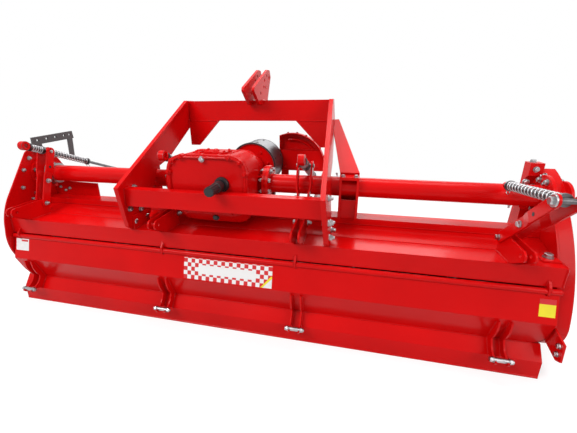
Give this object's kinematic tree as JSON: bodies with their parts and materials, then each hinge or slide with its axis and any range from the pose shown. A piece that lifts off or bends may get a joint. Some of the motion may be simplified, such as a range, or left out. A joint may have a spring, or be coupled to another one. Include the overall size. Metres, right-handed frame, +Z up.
{
  "type": "rotary tiller",
  "caption": "Tractor-mounted rotary tiller with a bladed rotor under a curved hood, hinged tailboard, spring rods, hitch frame and side gear case.",
  "frame": {"origin": "centre of the bounding box's base, on the floor", "axes": "+Y forward to the tractor, +X to the right side with the gear case, +Z up"},
  "size_m": [2.824, 1.036, 1.3],
  "materials": {
    "red_paint": "gloss",
    "zinc": "bright zinc",
    "dark_steel": "satin",
    "brushed_drum": "brushed"
  },
  "bodies": {
    "frame": {"arched_guard": "red_paint", "bearing_hub_left": "red_paint", "cross_tube_left": "red_paint", "cross_tube_right": "red_paint", "drum_disc": "red_paint", "end_plate_left": "red_paint", "end_post_right": "red_paint", "gear_case": "red_paint", "gearbox": "red_paint", "gearbox_cover": "red_paint", "hitch_feet": "red_paint", "hitch_gussets": "red_paint", "hitch_plate_left": "red_paint", "hitch_plate_right": "red_paint", "hitch_struts": "red_paint", "hood": "red_paint", "input_drum": "brushed_drum", "lower_cross_tie": "red_paint", "lower_link_brackets": "red_paint", "lower_link_pins": "zinc", "mid_beam": "red_paint", "parking_stand": "dark_steel", "rear_beam": "red_paint", "rear_channel": "red_paint", "side_plate_left": "red_paint", "side_plate_right": "red_paint", "spring_arm_feet": "red_paint", "spring_arms": "red_paint", "tailboard_hinge_lugs": "red_paint", "tailboard_hinge_rod": "red_paint", "top_beam": "red_paint", "top_link_lugs": "red_paint", "tube_end_ring": "zinc", "tube_saddles": "red_paint"},
    "rotor": {"rotor": "dark_steel"},
    "input_shaft": {"input_shaft": "dark_steel"},
    "tailboard": {"tailboard": "red_paint", "tailboard_flap": "red_paint", "spring_catch_plates": "red_paint", "spring_catch_pins": "zinc"},
    "rod_left_outer": {"spring_rod_left_outer": "zinc", "springs_left_outer": "zinc"},
    "rod_left_inner": {"spring_rod_left_inner": "zinc", "springs_left_inner": "zinc"},
    "rod_right_inner": {"spring_rod_right_inner": "zinc", "springs_right_inner": "zinc"},
    "rod_right_outer": {"spring_rod_right_outer": "zinc", "springs_right_outer": "zinc"}
  },
  "joints": [
    {"name": "rotor_spin", "type": "hinge", "parent": "frame", "child": "rotor", "pos_m": [0, -0.045, 0.2429], "axis": [1, 0, 0], "continuous": true},
    {"name": "input_spin", "type": "hinge", "parent": "frame", "child": "input_shaft", "pos_m": [-0.055, 0, 0.748], "axis": [0, 1, 0], "continuous": true},
    {"name": "tailboard_hinge", "type": "hinge", "parent": "frame", "child": "tailboard", "pos_m": [0, -0.318, 0.399], "axis": [-1, 0, 0], "range_deg": [0, 60]},
    {"name": "left_outer_rod_swing", "type": "hinge", "parent": "frame", "child": "rod_left_outer", "pos_m": [-1.215, -0.111, 0.849], "axis": [1, 0, 0], "range_deg": [0, 85]},
    {"name": "left_inner_rod_swing", "type": "hinge", "parent": "frame", "child": "rod_left_inner", "pos_m": [-0.371, -0.118, 0.82], "axis": [1, 0, 0], "range_deg": [0, 20]},
    {"name": "right_inner_rod_swing", "type": "hinge", "parent": "frame", "child": "rod_right_inner", "pos_m": [0.305, -0.118, 0.82], "axis": [1, 0, 0], "range_deg": [0, 20]},
    {"name": "right_outer_rod_swing", "type": "hinge", "parent": "frame", "child": "rod_right_outer", "pos_m": [1.162, -0.496, 0.808], "axis": [1, 0, 0], "range_deg": [0, 60]}
  ],
  "couplings": [
    {"joint": "input_spin", "follows": "rotor_spin", "ratio": 2.35}
  ]
}
